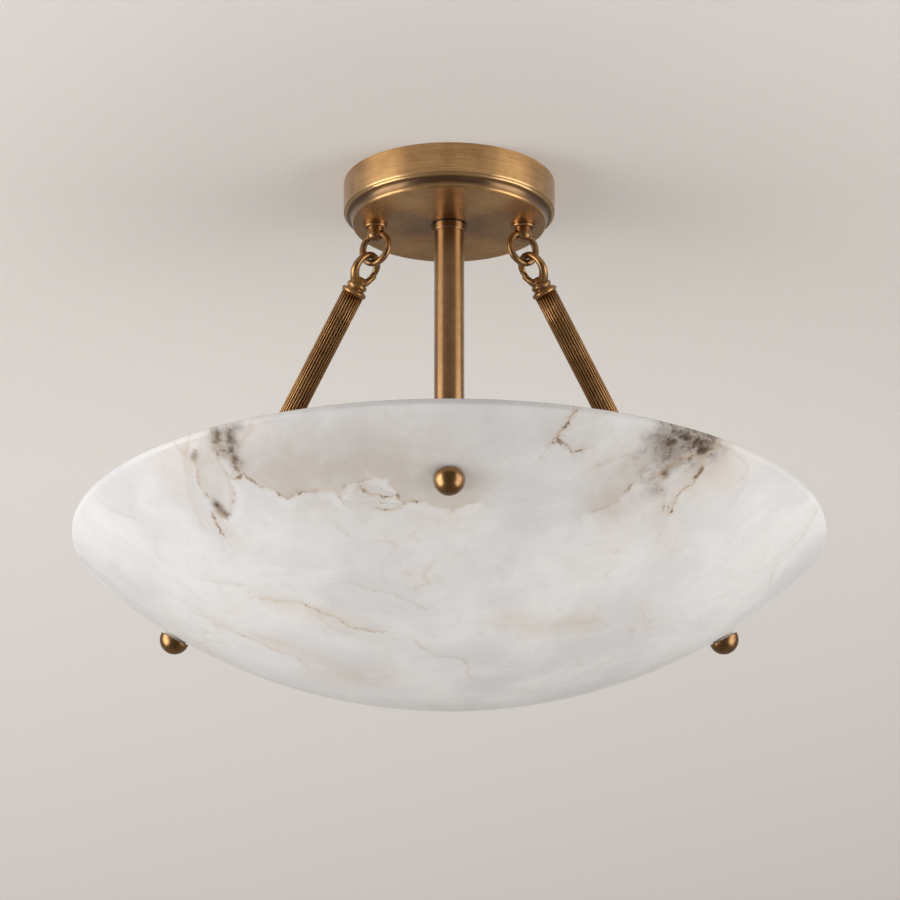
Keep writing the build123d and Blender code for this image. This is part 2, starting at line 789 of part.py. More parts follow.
with BuildPart() as cluster_nipple:
    with BuildSketch(Plane.XY.offset(nipple_foot)):
        Circle(nipple_radius)
        Circle(nipple_bore, mode=Mode.SUBTRACT)
    extrude(amount=stem_foot + bush_end - nipple_foot)
    with Locations((0, 0, lamp_z)):
        Box(nipple_window_width, 4 * nipple_radius, nipple_window_height, mode=Mode.SUBTRACT)
cluster_nipple.part.label = "cluster_nipple"
export_step(cluster_nipple.part, "parts/cluster_nipple.step")

with BuildPart() as cluster_lock_washer:
    with BuildSketch(Plane.XY.offset(drum_top - drum_wall)):
        Circle(hex_across / 2)
        Circle(nipple_radius + turning_gap, mode=Mode.SUBTRACT)
    extrude(amount=-washer_step)
cluster_lock_washer.part.label = "cluster_lock_washer"
export_step(cluster_lock_washer.part, "parts/cluster_lock_washer.step")

with BuildPart() as cluster_locknut:
    with BuildSketch(Plane.XY.offset(drum_top - drum_wall - washer_step)):
        RegularPolygon(hex_across / 2, 6, major_radius=False)
        Circle(nipple_radius + thread_clearance, mode=Mode.SUBTRACT)
    extrude(amount=-hex_height)
cluster_locknut.part.label = "cluster_locknut"
export_step(cluster_locknut.part, "parts/cluster_locknut.step")

with BuildPart() as cluster_cap_nut:
    with Locations((0, 0, spider_foot)):
        Cylinder(cap_nut_radius, cap_nut_skirt, align=(Align.CENTER, Align.CENTER, Align.MAX))
    with Locations((0, 0, spider_foot - cap_nut_skirt)):
        Sphere(cap_nut_radius, arc_size2=0, align=(Align.CENTER, Align.CENTER, Align.MAX))
    with Locations((0, 0, spider_foot)):
        Cylinder(
            nipple_radius + thread_clearance,
            spider_foot - nipple_foot + washer_step,
            align=(Align.CENTER, Align.CENTER, Align.MAX),
            mode=Mode.SUBTRACT,
        )
cluster_cap_nut.part.label = "cluster_cap_nut"
export_step(cluster_cap_nut.part, "parts/cluster_cap_nut.step")


# Lampholders: each stands off the drum on a nipple and a spacer that is cut to
# the drum's curve, with a nut inside the drum

socket_foot = drum_radius + socket_standoff
socket_mouth = socket_foot + socket_length
socket_bottom = socket_foot + socket_back
nut_corner = socket_nut_across / (2 * cos(radians(30)))
nut_seat = sqrt(drum_inner**2 - nut_corner**2) - seat_gap
nipple_start = nut_seat - socket_nut_height - socket_nipple_end
shell_inner = bulb_base_radius + shell_gap
shell_outer = shell_inner + shell_wall
tip_end = socket_bottom + contact_height + contact_gap
base_start = tip_end + bulb_tip_length
base_end = base_start + bulb_base_length
shoulder_turn = radians(bulb_shoulder_angle)
ball_place = base_end + (bulb_radius / cos(shoulder_turn) - bulb_neck_radius) / tan(shoulder_turn)


def lamp_plane(azimuth, distance):
    """A plane square to a lamp's axis, at a distance out from the stem."""
    here = point_at(distance, azimuth, lamp_z)
    return Plane(origin=here, x_dir=tangent(azimuth), z_dir=radial(azimuth))


with BuildPart() as socket_nipples:
    for azimuth in lamp_azimuths.values():
        with BuildSketch(lamp_plane(azimuth, nipple_start)):
            Circle(socket_nipple_radius)
            Circle(socket_nipple_bore, mode=Mode.SUBTRACT)
        extrude(amount=socket_foot + socket_nipple_grip - nipple_start)
socket_nipples.part.label = "socket_nipples"
export_step(socket_nipples.part, "parts/socket_nipples.step")

with BuildPart() as socket_spacers:
    for azimuth in lamp_azimuths.values():
        with BuildSketch(lamp_plane(azimuth, drum_inner)):
            Circle(spacer_radius)
            Circle(socket_nipple_radius + thread_clearance, mode=Mode.SUBTRACT)
        extrude(amount=socket_foot - drum_inner)
    with Locations((0, 0, lamp_z)):
        Cylinder(drum_radius + seat_gap, drum_height, mode=Mode.SUBTRACT)
socket_spacers.part.label = "socket_spacers"
export_step(socket_spacers.part, "parts/socket_spacers.step")

with BuildPart() as socket_nuts:
    for azimuth in lamp_azimuths.values():
        with BuildSketch(lamp_plane(azimuth, nut_seat)):
            RegularPolygon(socket_nut_across / 2, 6, major_radius=False)
            Circle(socket_nipple_radius + thread_clearance, mode=Mode.SUBTRACT)
        extrude(amount=-socket_nut_height)
socket_nuts.part.label = "socket_nuts"
export_step(socket_nuts.part, "parts/socket_nuts.step")

with BuildPart() as centre_contacts:
    for azimuth in lamp_azimuths.values():
        with BuildSketch(lamp_plane(azimuth, socket_bottom)):
            Circle(contact_radius)
        extrude(amount=contact_height)
centre_contacts.part.label = "centre_contacts"
export_step(centre_contacts.part, "parts/centre_contacts.step")

ring_step = bulb_base_length / (bulb_thread_rings + 1)

for name, azimuth in lamp_azimuths.items():
    side = tangent(azimuth)
    lamp_axis = Axis(point_at(0, azimuth, lamp_z), radial(azimuth))
    lamp_profile = Plane(origin=(0, 0, lamp_z), x_dir=side, z_dir=side.cross(radial(azimuth)))

    with BuildPart() as lampholder:
        with BuildSketch(lamp_profile):
            with BuildLine():
                Polyline(
                    (0, socket_foot),
                    (socket_radius, socket_foot),
                    (socket_radius, socket_mouth - socket_rim_height),
                    (socket_radius + socket_rim, socket_mouth - socket_rim_height),
                    (socket_radius + socket_rim, socket_mouth),
                    (shell_outer + seat_gap, socket_mouth),
                    (shell_outer + seat_gap, socket_bottom),
                    (0, socket_bottom),
                    close=True,
                )
            make_face()
        revolve(axis=lamp_axis)
        with Locations(lamp_plane(azimuth, socket_foot)):
            Cylinder(
                socket_nipple_radius + thread_clearance,
                socket_nipple_grip + seat_gap,
                align=(Align.CENTER, Align.CENTER, Align.MIN),
                mode=Mode.SUBTRACT,
            )
    lampholder.part.label = f"{name}_lampholder"
    export_step(lampholder.part, f"parts/{name}_lampholder.step")

    with BuildPart() as screw_shell:
        with BuildSketch(lamp_plane(azimuth, socket_bottom)):
            Circle(shell_outer)
            Circle(shell_inner, mode=Mode.SUBTRACT)
        extrude(amount=shell_length)
    screw_shell.part.label = f"{name}_screw_shell"
    export_step(screw_shell.part, f"parts/{name}_screw_shell.step")

    with BuildPart() as bulb_base:
        with BuildSketch(lamp_profile):
            with BuildLine():
                base_line = [(0, tip_end), (bulb_tip_radius, tip_end), (bulb_tip_radius, base_start)]
                for count in range(bulb_thread_rings + 1):
                    crest = base_start + count * ring_step
                    base_line.append((bulb_base_radius - bulb_thread_depth, crest))
                    base_line.append((bulb_base_radius, crest + ring_step / 2))
                base_line.append((bulb_base_radius - bulb_thread_depth, base_end))
                base_line.append((0, base_end))
                Polyline(*base_line, close=True)
            make_face()
        revolve(axis=lamp_axis)
    bulb_base.part.label = f"{name}_bulb_base"
    export_step(bulb_base.part, f"parts/{name}_bulb_base.step")

    with BuildPart() as bulb_glass_shell:
        for inset, mode in ((0, Mode.ADD), (bulb_glass, Mode.SUBTRACT)):
            with BuildSketch(lamp_profile) as bulb_sketch:
                with BuildLine():
                    ball = bulb_radius - inset
                    neck = (bulb_neck_radius - inset / cos(shoulder_turn), base_end)
                    shoulder = (ball * cos(shoulder_turn), ball_place - ball * sin(shoulder_turn))
                    ThreePointArc(shoulder, (ball, ball_place), (0, ball_place + ball))
                    Polyline((0, ball_place + ball), (0, base_end), neck, shoulder)
                make_face()
            revolve(bulb_sketch.sketch, axis=lamp_axis, mode=mode)
    bulb_glass_shell.part.label = f"{name}_bulb_glass"
    export_step(bulb_glass_shell.part, f"parts/{name}_bulb_glass.step")
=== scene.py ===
"""Looks of a semi flush ceiling light: an alabaster bowl under a turned brass canopy.

It runs top to bottom: the room first, then the bowl, the brass, the hooks, the fluted
stays, the fittings and the lamps. Metres, +Z up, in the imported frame: z = 0 is the
ceiling, the stem is the Z axis and the light's front faces -Y.
"""

import math

import bpy
import numpy as np
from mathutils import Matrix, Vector


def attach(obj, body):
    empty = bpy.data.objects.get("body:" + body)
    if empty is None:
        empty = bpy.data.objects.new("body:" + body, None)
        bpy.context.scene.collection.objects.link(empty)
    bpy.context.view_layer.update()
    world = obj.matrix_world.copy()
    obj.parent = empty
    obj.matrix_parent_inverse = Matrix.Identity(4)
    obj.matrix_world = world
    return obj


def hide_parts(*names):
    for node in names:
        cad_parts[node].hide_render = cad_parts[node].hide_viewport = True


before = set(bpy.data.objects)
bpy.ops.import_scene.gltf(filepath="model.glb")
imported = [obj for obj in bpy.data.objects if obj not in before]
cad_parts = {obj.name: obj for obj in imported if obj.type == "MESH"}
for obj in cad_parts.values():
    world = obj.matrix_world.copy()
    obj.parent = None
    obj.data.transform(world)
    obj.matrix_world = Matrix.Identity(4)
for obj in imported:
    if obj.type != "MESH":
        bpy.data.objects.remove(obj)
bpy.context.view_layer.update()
scene = bpy.context.scene


# The room. The light hangs from a plain painted ceiling. A large soft box stands on
# each side of it, about level with it. Two wide fills below don't show in its gloss.


def linear(colour):
    """An sRGB hex colour in linear light: c / 12.92 up to 0.04045, else ((c + 0.055) / 1.055) ** 2.4."""
    parts = [int(colour[i : i + 2], 16) / 255 for i in (1, 3, 5)]
    return [c / 12.92 if c <= 0.04045 else ((c + 0.055) / 1.055) ** 2.4 for c in parts] + [1.0]


def add(tree, kind, inputs=None, **settings):
    """Adds a shader node; an input is a value, or another node's output to link."""
    made = tree.nodes.new(kind)
    for key, value in settings.items():
        setattr(made, key, value)
    for key, value in (inputs or {}).items():
        if isinstance(value, bpy.types.NodeSocket):
            tree.links.new(value, made.inputs[key])
        else:
            made.inputs[key].default_value = value
    return made


def new_material(name):
    """An empty material with a Principled shader on its surface."""
    made = bpy.data.materials.new(name)
    made.use_nodes = True
    tree = made.node_tree
    tree.nodes.clear()
    shader = add(tree, "ShaderNodeBsdfPrincipled")
    add(tree, "ShaderNodeOutputMaterial", {"Surface": shader.outputs[0]})
    return made, tree, shader


def soft_box(name, place, target, width, height, power, colour):
    """A rectangular studio lamp at a place, facing a target."""
    lamp = bpy.data.lights.new(name, "AREA")
    lamp.shape = "RECTANGLE"
    lamp.size = width
    lamp.size_y = height
    lamp.energy = power
    lamp.color = linear(colour)[:3]
    stand = bpy.data.objects.new(name, lamp)
    stand.location = place
    stand.rotation_euler = (Vector(target) - Vector(place)).to_track_quat("-Z", "Y").to_euler()
    scene.collection.objects.link(stand)
    return stand


scene.view_settings.view_transform = "Standard"

# The air of the room is a little warm, dimmer in front of the light than behind it
air = bpy.data.worlds.new("studio_air")
air.use_nodes = True
heading = add(air.node_tree, "ShaderNodeTexCoord")
heading = add(air.node_tree, "ShaderNodeSeparateXYZ", {0: heading.outputs["Generated"]})
dimmed = add(
    air.node_tree,
    "ShaderNodeMapRange",
    {"Value": heading.outputs["Y"], "From Min": -0.3, "From Max": 0.5, "To Min": 0.12, "To Max": 0.28},
)
air.node_tree.links.new(dimmed.outputs["Result"], air.node_tree.nodes["Background"].inputs["Strength"])
air.node_tree.nodes["Background"].inputs["Color"].default_value = linear("#ebe1d6")
scene.world = air

soft_box("left_soft_box", (-2.45, -0.72, -0.45), (0, 0, -0.3), 2.0, 3.2, 82, "#f6f4f4")
soft_box("right_soft_box", (2.45, -0.72, -0.45), (0, 0, -0.3), 2.0, 3.2, 66, "#f7f5f4")
for name, place, power in (("front_fill", (0, -1.7, -2.5), 19), ("back_fill", (0.2, 0.9, -2.9), 23)):
    fill = soft_box(name, place, (0, 0, -0.2), 3.0, 3.0, power, "#fbf8f4")
    fill.visible_glossy = False

# The camera stands in front of the light, well below the ceiling, and looks up
eye = bpy.data.cameras.new("camera")
eye.lens = 245.73
eye.sensor_width = 36
eye.shift_x = 0.0009
camera = bpy.data.objects.new("camera", eye)
camera.location = (0, -3.5, -1.5133)
camera.rotation_euler = (math.radians(110.91), 0, 0)
scene.collection.objects.link(camera)
scene.camera = camera

# The ceiling is one flat panel with an opening over the canopy, so the canopy's
# inside stays lit in views from above. Its upper side is clear.
steps_round = 720
opening = 0.0646
turn = np.linspace(0, 2 * np.pi, steps_round, endpoint=False)
ray = np.stack([np.sin(turn), -np.cos(turn)], 1)
half_width, front_edge, back_edge = 0.42, -0.29, 2.2
side_reach = half_width / np.maximum(abs(ray[:, 0]), 1e-9)
depth_reach = np.where(ray[:, 1] < 0, -front_edge, back_edge) / np.maximum(abs(ray[:, 1]), 1e-9)
outline = ray * np.minimum(side_reach, depth_reach)[:, None]
flat = np.concatenate([ray * opening, outline])
corners = np.column_stack([flat, np.zeros(len(flat))])
k = np.arange(steps_round)
after = (k + 1) % steps_round
panel = np.stack([k, after, steps_round + after, steps_round + k], 1)
ceiling_mesh = bpy.data.meshes.new("ceiling")
ceiling_mesh.from_pydata(corners.tolist(), [], panel.tolist())
ceiling = bpy.data.objects.new("ceiling", ceiling_mesh)
scene.collection.objects.link(ceiling)

# Rolled matt paint. A little light of its own, seen by the camera and in gloss and
# glass alike, keeps it pale; the shadow of the light still falls on it.
paint, tree, shader = new_material("ceiling_paint")
place = add(tree, "ShaderNodeTexCoord")
roller = add(
    tree,
    "ShaderNodeTexNoise",
    {"Vector": place.outputs["Object"], "Scale": 260.0, "Detail": 3.0, "Roughness": 0.6},
)
stipple = add(
    tree,
    "ShaderNodeBump",
    {"Height": roller.outputs["Fac"], "Strength": 0.35, "Distance": 0.0006},
)
tree.links.new(stipple.outputs["Normal"], shader.inputs["Normal"])
shader.inputs["Base Color"].default_value = linear("#dcd9d5")
shader.inputs["Roughness"].default_value = 0.9
path = add(tree, "ShaderNodeLightPath")
shown = add(
    tree,
    "ShaderNodeMath",
    {0: path.outputs["Is Camera Ray"], 1: path.outputs["Is Glossy Ray"]},
    operation="MAXIMUM",
)
shown = add(
    tree,
    "ShaderNodeMath",
    {0: shown.outputs[0], 1: path.outputs["Is Transmission Ray"]},
    operation="MAXIMUM",
)
depth = add(tree, "ShaderNodeSeparateXYZ", {0: place.outputs["Object"]})
# Painted light: the glow is stronger towards the back and towards the left, as if more lamp light fell there
lift = add(
    tree,
    "ShaderNodeMapRange",
    {"Value": depth.outputs["Y"], "From Min": -0.3, "From Max": 0.5, "To Min": 0.135, "To Max": 0.19},
)
across = add(
    tree,
    "ShaderNodeMapRange",
    {"Value": depth.outputs["X"], "From Min": -0.4, "From Max": 0.4, "To Min": 0.03, "To Max": -0.05},
)
lift = add(tree, "ShaderNodeMath", {0: lift.outputs["Result"], 1: across.outputs["Result"]}, operation="ADD")
lift = add(tree, "ShaderNodeMath", {0: lift.outputs[0], 1: shown.outputs[0]}, operation="MULTIPLY")
pale = add(tree, "ShaderNodeEmission", {"Color": linear("#f9f5ee"), "Strength": lift.outputs[0]})
painted = add(tree, "ShaderNodeAddShader", {0: shader.outputs[0], 1: pale.outputs[0]})
side_seen = add(tree, "ShaderNodeNewGeometry")
clear = add(tree, "ShaderNodeBsdfTransparent")
one_sided = add(
    tree,
    "ShaderNodeMixShader",
    {0: side_seen.outputs["Backfacing"], 1: painted.outputs[0], 2: clear.outputs[0]},
)
tree.links.new(one_sided.outputs[0], tree.nodes["Material Output"].inputs["Surface"])
ceiling_mesh.materials.append(paint)


# The bowl, one piece of alabaster turned to an even wall. Its outside is a cap of
# a sphere under a low upright lip, ground smooth and left with a soft sheen. Grey
# and brown mineral seams run through the white stone, most of them near the rim.


def skin(name, rings, closed=False):
    """A smooth mesh through rings of points, where a ring of one point is a pole.

    Ring i and ring i + 1 are joined by quads k, k + 1 of one to k + 1, k of the
    other, and a closed skin joins its last ring to its first. Two poles in a row
    part one shell from the next. Points are counted anticlockwise about the line
    from ring to ring.
    """
    counts = [len(ring) for ring in rings]
    starts = np.cumsum([0] + counts[:-1])
    runs = [(i, (i + 1) % len(rings)) for i in range(len(rings) if closed else len(rings) - 1)]
    faces = []
    for i, j in runs:
        a, b, low, high = counts[i], counts[j], starts[i], starts[j]
        if a == b == 1:
            continue
        k = np.arange(max(a, b))
        after = (k + 1) % len(k)
        if a == 1:
            faces += np.stack([np.full_like(k, low), high + after, high + k], 1).tolist()
        elif b == 1:
            faces += np.stack([low + k, low + after, np.full_like(k, high)], 1).tolist()
        else:
            faces += np.stack([low + k, low + after, high + after, high + k], 1).tolist()
    mesh = bpy.data.meshes.new(name)
    mesh.from_pydata(np.concatenate(rings).tolist(), [], faces)
    mesh.shade_smooth()
    made = bpy.data.objects.new(name, mesh)
    scene.collection.objects.link(made)
    return made


def eased(corner, before, after, reach, steps):
    """A rounded corner: the curve (1-t)^2 p + 2 t (1-t) corner + t^2 q.

    The points p and q are at a reach from the corner, along its two sides.
    """
    corner, before, after = (np.array(p, float) for p in (corner, before, after))
    p = corner + (before - corner) / np.linalg.norm(before - corner) * reach
    q = corner + (after - corner) / np.linalg.norm(after - corner) * reach
    t = np.linspace(0, 1, steps)[:, None]
    return (1 - t) ** 2 * p + 2 * t * (1 - t) * corner + t**2 * q


bowl_radius = 0.2285
rim_z = -0.2315
lip_height = 0.0036
lip_foot = rim_z - lip_height
cap_depth = 0.0909
thickness = 0.009
ball = (bowl_radius**2 + cap_depth**2) / (2 * cap_depth)
ball_z = lip_foot - cap_depth + ball
hollow = ball - thickness
rim_inner = math.sqrt(hollow**2 - (rim_z - ball_z) ** 2)

# Rows and columns stand closer where the seams run, near the front of the rim. Rows
# stop a small angle short of the rim's corners, which are eased
corner_gap = 0.006
close_from = math.radians(27)
lean_end = math.asin(bowl_radius / ball) - corner_gap
lean = np.concatenate([np.linspace(0, close_from, 46)[1:], np.linspace(close_from, lean_end, 96)[1:]])
outside = np.stack([ball * np.sin(lean), ball_z - ball * np.cos(lean)], 1)
lip_corner = (bowl_radius, lip_foot)
outer_corner = (bowl_radius, rim_z)
inner_corner = (rim_inner, rim_z)
depth = np.linspace(math.asin(rim_inner / hollow) - corner_gap, 0, 34)
inside = np.stack([hollow * np.sin(depth), ball_z - hollow * np.cos(depth)], 1)
profile = np.concatenate(
    [
        outside,
        eased(lip_corner, outside[-1], outer_corner, 0.0009, 7),
        eased(outer_corner, lip_corner, inner_corner, 0.0012, 6),
        eased(inner_corner, outer_corner, inside[0], 0.0013, 6),
        inside[:-1],
    ]
)
azimuth = np.radians(np.concatenate([np.linspace(-72, 52, 300), np.linspace(52, 288, 102)[1:-1]]))
around = np.stack([np.sin(azimuth), -np.cos(azimuth)], 1)
rings = [np.column_stack([radius * around, np.full(len(around), z)]) for radius, z in profile]
rings = [np.array([[0, 0, ball_z - ball]])] + rings + [np.array([[0, 0, ball_z - hollow]])]
bowl = skin("alabaster_bowl", rings)

# Seams of the stone as seen from the front, in plan, in mm. Each has the depth of
# its line, the depth and reach of the veil on its right-hand side, then its points.
seams = [
    (
        0.6, 0.35, 12,
        [(-147, -167), (-149, -161), (-147, -158), (-146, -152), (-145, -145), (-139, -140), (-132, -133)],
    ),
    (0.8, 0.2, 6, [(-138, -130), (-135, -123), (-133, -120)]),
    (
        0.6, 0.35, 12,
        [(-131, -134), (-126, -141), (-125, -153), (-128, -161), (-133, -170), (-136, -176), (-136, -182)],
    ),
    (0.8, 0.2, 5, [(-128, -161), (-124, -162), (-122, -165), (-122, -170)]),
    (
        0.7, 0.5, 26,
        [(-136, -176), (-130, -174), (-127, -173), (-122, -168), (-115, -166), (-109, -164), (-102, -164)],
    ),
    (
        0.7, 0.7, 30,
        [(-102, -164), (-94, -162), (-88, -169), (-81, -171), (-75, -173), (-67, -175), (-63, -171)],
    ),
    (
        0.4, 0.75, 30,
        [(-63, -171), (-60, -181), (-51, -185), (-43, -187), (-38, -187), (-33, -183), (-30, -180)],
    ),
    (0.9, 0.7, 26, [(-30, -180), (-30, -176), (-27, -174), (-21, -176), (-16, -176)]),
    (0.2, 0.7, 26, [(-16, -176), (-9, -172), (2, -171), (12, -174)]),
    (0.9, 0.15, 6, [(-50, -180), (-45, -177), (-38, -177), (-35, -177)]),
    (0.9, 0.2, 6, [(-42, -169), (-38, -169), (-32, -169), (-28, -172)]),
    (0.9, 0.3, 8, [(59, -204), (66, -211), (72, -217)]),
    (0.8, 0.3, 8, [(63, -205), (71, -196), (76, -196)]),
    (0.3, 0.1, 8, [(85, -185), (90, -186), (97, -185), (102, -186), (109, -181), (113, -178)]),
    (
        0.6, 0.5, 12,
        [(83, -157), (88, -158), (94, -158), (97, -159), (102, -163), (106, -167), (111, -169), (114, -171)],
    ),
    (1.0, 0.6, 14, [(121, -165), (126, -167), (131, -169), (136, -168), (143, -167)]),
    (
        0.9, 0.45, 14,
        [(129, -137), (133, -147), (137, -150), (143, -150), (142, -153), (146, -155), (148, -158)],
    ),
    (0.9, 0.45, 12, [(148, -158), (147, -161), (152, -163), (157, -166), (159, -170)]),
    (0.5, 0.2, 8, [(125, -143), (126, -150), (122, -158), (125, -161)]),
    (0.5, 0.3, 9, [(-111, -74), (-99, -77), (-88, -81), (-77, -78), (-67, -75), (-58, -67), (-40, -67)]),
    (0.2, 0.2, 8, [(-146, -68), (-132, -75), (-122, -80)]),
    (0.4, 0.3, 9, [(-146, -21), (-132, -17), (-116, -17), (-104, -11), (-91, -11), (-86, 4)]),
    (0.3, 0.2, 8, [(-57, -110), (-33, -106), (-16, -96)]),
    (0.3, 0.25, 8, [(-21, -61), (-8, -41), (1, -41), (9, -38), (12, -9)]),
    (0.25, 0.2, 8, [(-64, -152), (-59, -147)]),
    (0.25, 0.3, 8, [(194, 0), (195, -24), (212, -40), (223, -64)]),
    (0.2, 0.2, 8, [(-201, -83), (-186, -90)]),
    (0.2, 0.25, 10, [(-154, -162), (-152, -134), (-144, -117)]),
]
# Smoky mineral patches: half width in mm, depth of colour, then the line they follow
patches = [
    (4.5, 0.8, [(-135, -184), (-134, -177), (-129, -175)]),
    (4.5, 0.8, [(-127, -188), (-126, -177), (-123, -172)]),
    (3.5, 0.9, [(-136, -139), (-132, -135)]),
    (2.2, 0.7, [(-149, -161), (-148, -164)]),
    (4.0, 0.5, [(-134, -185), (-122, -193)]),
    (14.0, 0.95, [(124, -182), (133, -179), (141, -177), (148, -170)]),
    (4.5, 0.8, [(143, -167), (136, -168), (128, -167), (125, -165)]),
    (2.0, 1.0, [(127, -168), (124, -165)]),
    (8.0, 0.4, [(117, -165), (121, -157)]),
    (9.0, 0.45, [(115, -175), (125, -178)]),
    (6.0, 0.9, [(124, -192), (139, -183), (151, -173)]),
    (3.0, 0.5, [(155, -168), (152, -163), (146, -157)]),
]
# Grey and warm hazes deep under the surface: reach in mm, depth, then their middle
grey_hazes = [
    (26, 0.45, [(-70, -186), (-50, -196), (-20, -195)]),
    (22, 0.5, [(-106, -178), (-85, -180), (-73, -186)]),
    (16, 0.4, [(71, -209), (79, -203)]),
    (20, 0.6, [(106, -172), (98, -162)]),
    (28, 0.35, [(108, -178), (120, -170)]),
    (12, 0.3, [(-142, -162), (-138, -150)]),
]
warm_hazes = [
    (22, 0.6, [(160, -160), (153, -149)]),
    (12, 0.35, [(127, -140), (130, -111)]),
    (13, 0.5, [(36, -81), (56, -67), (76, -65)]),
    (14, 0.25, [(91, -179), (97, -129)]),
    (16, 0.5, [(-74, 15), (-44, -2)]),
    (11, 0.45, [(-108, -24), (-73, -16)]),
    (9, 0.4, [(-107, -74), (-77, -76), (-58, -71)]),
    (12, 0.4, [(-4, -167), (8, -176)]),
    (9, 0.35, [(-135, -124), (-125, -118)]),
    (18, 0.35, [(-165, -150), (-158, -140)]),
]


def on_bowl(plan):
    """Points in plan, in mm, dropped on to the bowl's outside: z = ball_z - sqrt(ball^2 - x^2 - y^2)."""
    xy = np.array(plan, float) / 1000
    return np.column_stack([xy, ball_z - np.sqrt(np.maximum(ball**2 - (xy**2).sum(1), 1e-9))])


def reach_to(points, line):
    """Each point's distance in mm to a line of straight runs, and its side of it in plan.

    The side is the offset square to the nearest run over the distance: +1 on the
    right of the line, -1 on its left, and in between round its two ends.
    """
    best = np.full(len(points), 1e9)
    side = np.ones(len(points))
    for start, end in zip(line[:-1], line[1:]):
        run = end - start
        along = np.clip((points - start) @ run / (run @ run), 0, 1)
        far = np.linalg.norm(points - start - along[:, None] * run, axis=1)
        left = run[0] * (points[:, 1] - start[1]) - run[1] * (points[:, 0] - start[0])
        flat_far = np.linalg.norm(points[:, :2] - start[:2] - along[:, None] * run[:2], axis=1)
        square = -left / np.linalg.norm(run[:2]) / np.maximum(flat_far, 1e-6)
        side = np.where(far < best, square, side)
        best = np.minimum(best, far)
    return best * 1000, side


stone_points = np.empty(len(bowl.data.vertices) * 3)
bowl.data.vertices.foreach_get("co", stone_points)
stone_points = stone_points.reshape(-1, 3)
seam_reach = np.full(len(stone_points), 60.0)
seam_side = np.ones(len(stone_points))
seam_depth = np.zeros(len(stone_points))
seam_edge = np.zeros(len(stone_points))
veil = np.zeros(len(stone_points))
for line_depth, veil_depth, veil_reach, plan in seams:
    far, side = reach_to(stone_points, on_bowl(plan))
    nearer = far < seam_reach
    seam_reach = np.where(nearer, far, seam_reach)
    seam_side = np.where(nearer, side, seam_side)
    seam_depth = np.where(nearer, line_depth, seam_depth)
    seam_edge = np.where(nearer, float(veil_depth > 0.3), seam_edge)
    veil += veil_depth * np.exp(-far / veil_reach) * np.clip(0.5 + 0.8 * side, 0, 1)


def smoke(parts):
    """The deepest of several soft patches at each point: depth times exp(-(distance / half width)^2)."""
    depths = []
    for half, deep, plan in parts:
        far, _ = reach_to(stone_points, on_bowl(plan))
        depths.append(deep * np.exp(-((far / half) ** 2)))
    return np.max(depths, 0)


for name, values in (
    ("seam_reach", seam_reach * np.where(seam_side > 0, 1, -1)),
    ("seam_depth", seam_depth),
    ("seam_edge", seam_edge),
    ("veil", np.minimum(veil, 1)),
    ("mineral", smoke(patches)),
    ("grey_haze", smoke(grey_hazes)),
    ("warm_haze", smoke(warm_hazes)),
):
    layer = bowl.data.attributes.new(name, "FLOAT", "POINT")
    layer.data.foreach_set("value", values)


def masked(tree, masks, depth=1.0):
    """The product of a number and several masks.

    A mask is an output, or (output, low, high, at_low, at_high) for a smooth step of
    it from low to high, where at_low and at_high are 0 and 1 unless given.
    """
    for mask in masks:
        if isinstance(mask, tuple):
            value, low, high, at_low, at_high = (*mask, 0.0, 1.0)[:5]
            step = {"Value": value, "From Min": low, "From Max": high, "To Min": at_low, "To Max": at_high}
            mask = add(tree, "ShaderNodeMapRange", step, interpolation_type="SMOOTHSTEP").outputs[0]
        depth = add(tree, "ShaderNodeMath", {0: mask, 1: depth}, operation="MULTIPLY").outputs[0]
    return depth


def laid_over(tree, base, layers):
    """Mixes colours over a base in turn. A layer is its colour, its depth and its masks."""
    for colour, depth, masks in layers:
        mix = {0: masked(tree, masks, depth), 6: base, 7: linear(colour)}
        base = add(tree, "ShaderNodeMix", mix, data_type="RGBA").outputs[2]
    return base


# Alabaster: white stone with soft grey and cream clouds, where light scatters a little.
# Each noise has the size of its features in mm, its detail and its roughness.
alabaster, tree, shader = new_material("alabaster")
place = add(tree, "ShaderNodeTexCoord").outputs["Object"]
mm = add(tree, "ShaderNodeVectorMath", {0: place, "Scale": 1000.0}, operation="SCALE").outputs[0]
drift = add(tree, "ShaderNodeTexNoise", {"Vector": mm, "Scale": 1 / 90, "Detail": 2.0}).outputs["Color"]
drift = add(tree, "ShaderNodeVectorMath", {0: drift, 1: (-0.5, -0.5, -0.5)}, operation="ADD").outputs[0]
drift = add(tree, "ShaderNodeVectorMath", {0: drift, "Scale": 70.0}, operation="SCALE").outputs[0]
flow = add(tree, "ShaderNodeVectorMath", {0: mm, 1: drift}, operation="ADD").outputs[0]
clouds, warmth, wisps, threads, veins, fine, coarse, crystals, grind = [
    add(
        tree,
        "ShaderNodeTexNoise",
        {"Vector": vector, "Scale": 1 / size, "Detail": detail, "Roughness": roughness},
    ).outputs["Fac"]
    for vector, size, detail, roughness in (
        (flow, 80, 4.0, 0.5),
        (flow, 105, 3.0, 0.5),
        (flow, 30, 5.0, 0.55),
        (flow, 9, 6.0, 0.7),
        (flow, 70, 3.0, 0.5),
        (mm, 3.5, 4.0, 0.6),
        (mm, 12, 3.0, 0.55),
        (mm, 6, 4.0, 0.6),
        (mm, 1.2, 3.0, 0.6),
    )
]
reach, line_here, edge_here, veil_here, patch, grey, warm = [
    add(tree, "ShaderNodeAttribute", attribute_name=name).outputs["Fac"]
    for name in ("seam_reach", "seam_depth", "seam_edge", "veil", "mineral", "grey_haze", "warm_haze")
]

